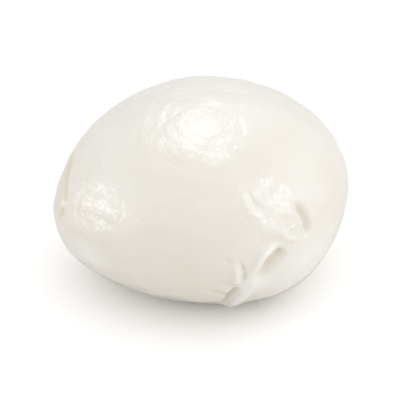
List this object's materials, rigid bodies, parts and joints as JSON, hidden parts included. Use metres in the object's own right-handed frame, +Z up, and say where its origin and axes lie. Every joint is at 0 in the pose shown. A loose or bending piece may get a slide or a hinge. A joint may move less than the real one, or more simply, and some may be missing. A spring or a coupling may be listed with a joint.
{
  "type": "mozzarella ball",
  "caption": "Fresh cheese ball, a sagging round drop of stretched curd with a puckered scar and a pinched tail low on its front, flat where it rests.",
  "frame": {"origin": "middle of the ball's box, at the level of the surface it rests on", "axes": "+Z up, from the flat foot to the crown; +X along the longest side of the ball, to the right seen from the front; -Y towards the front, where the scar and its tail show"},
  "size_m": [0.0712, 0.067, 0.0464],
  "materials": {
    "curd": "wet satin"
  },
  "bodies": {
    "root": {"mozzarella_ball": "curd"}
  },
  "joints": []
}
